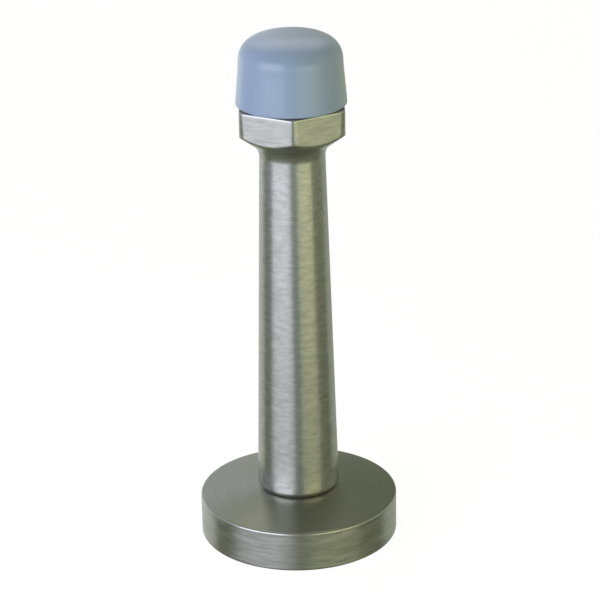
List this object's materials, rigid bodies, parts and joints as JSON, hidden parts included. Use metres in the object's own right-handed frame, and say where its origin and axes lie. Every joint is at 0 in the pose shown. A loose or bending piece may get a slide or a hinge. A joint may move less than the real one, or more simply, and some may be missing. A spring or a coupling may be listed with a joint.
{
  "type": "door stop",
  "caption": "Base-mounted door stop: a tapered round post with a hexagon head on a round flange, with a screwed-on rubber bumper at its tip and a screw plate in its hollow underside.",
  "frame": {"origin": "centre of the flange's underside, on the surface that the stop is fixed to", "axes": "+Z along the post, away from that surface and towards the bumper; +Y towards one corner of the hexagon"},
  "size_m": [0.0362, 0.0362, 0.0953],
  "materials": {
    "satin_nickel": "satin nickel plate, brushed round the axis",
    "grey_rubber": "semi-gloss moulded blue-grey rubber",
    "zinc_plated_steel": "bright zinc plate",
    "spring_steel": "black phosphate",
    "fibre": "black vulcanised fibre"
  },
  "bodies": {
    "mounting": {"mounting_plate": "zinc_plated_steel", "mounting_stud": "zinc_plated_steel"},
    "lock_ring": {"lock_washer": "spring_steel"},
    "stop": {"base_flange": "satin_nickel", "flange_nut": "zinc_plated_steel", "post": "satin_nickel"},
    "bumper_seat": {"bumper_washer": "fibre"},
    "bumper": {"bumper_backing": "zinc_plated_steel", "bumper_bolt": "zinc_plated_steel", "rubber_bumper": "grey_rubber"}
  },
  "joints": [
    {"name": "stop_turn", "type": "hinge", "parent": "mounting", "child": "lock_ring", "pos_m": [0, 0, 0.0036], "axis": [0, 0, 1], "range_deg": [0, 2250]},
    {"name": "stop_lift", "type": "slide", "parent": "lock_ring", "child": "stop", "axis": [0, 0, 1], "range_m": [0, 0.00781]},
    {"name": "bumper_turn", "type": "hinge", "parent": "stop", "child": "bumper_seat", "pos_m": [0, 0, 0.0825], "axis": [0, 0, 1], "range_deg": [0, 2610]},
    {"name": "bumper_lift", "type": "slide", "parent": "bumper_seat", "child": "bumper", "axis": [0, 0, 1], "range_m": [0, 0.00725]}
  ],
  "couplings": [
    {"joint": "stop_turn", "follows": "stop_lift", "rad_per_m": 5026.5},
    {"joint": "bumper_turn", "follows": "bumper_lift", "rad_per_m": 6283.2}
  ]
}
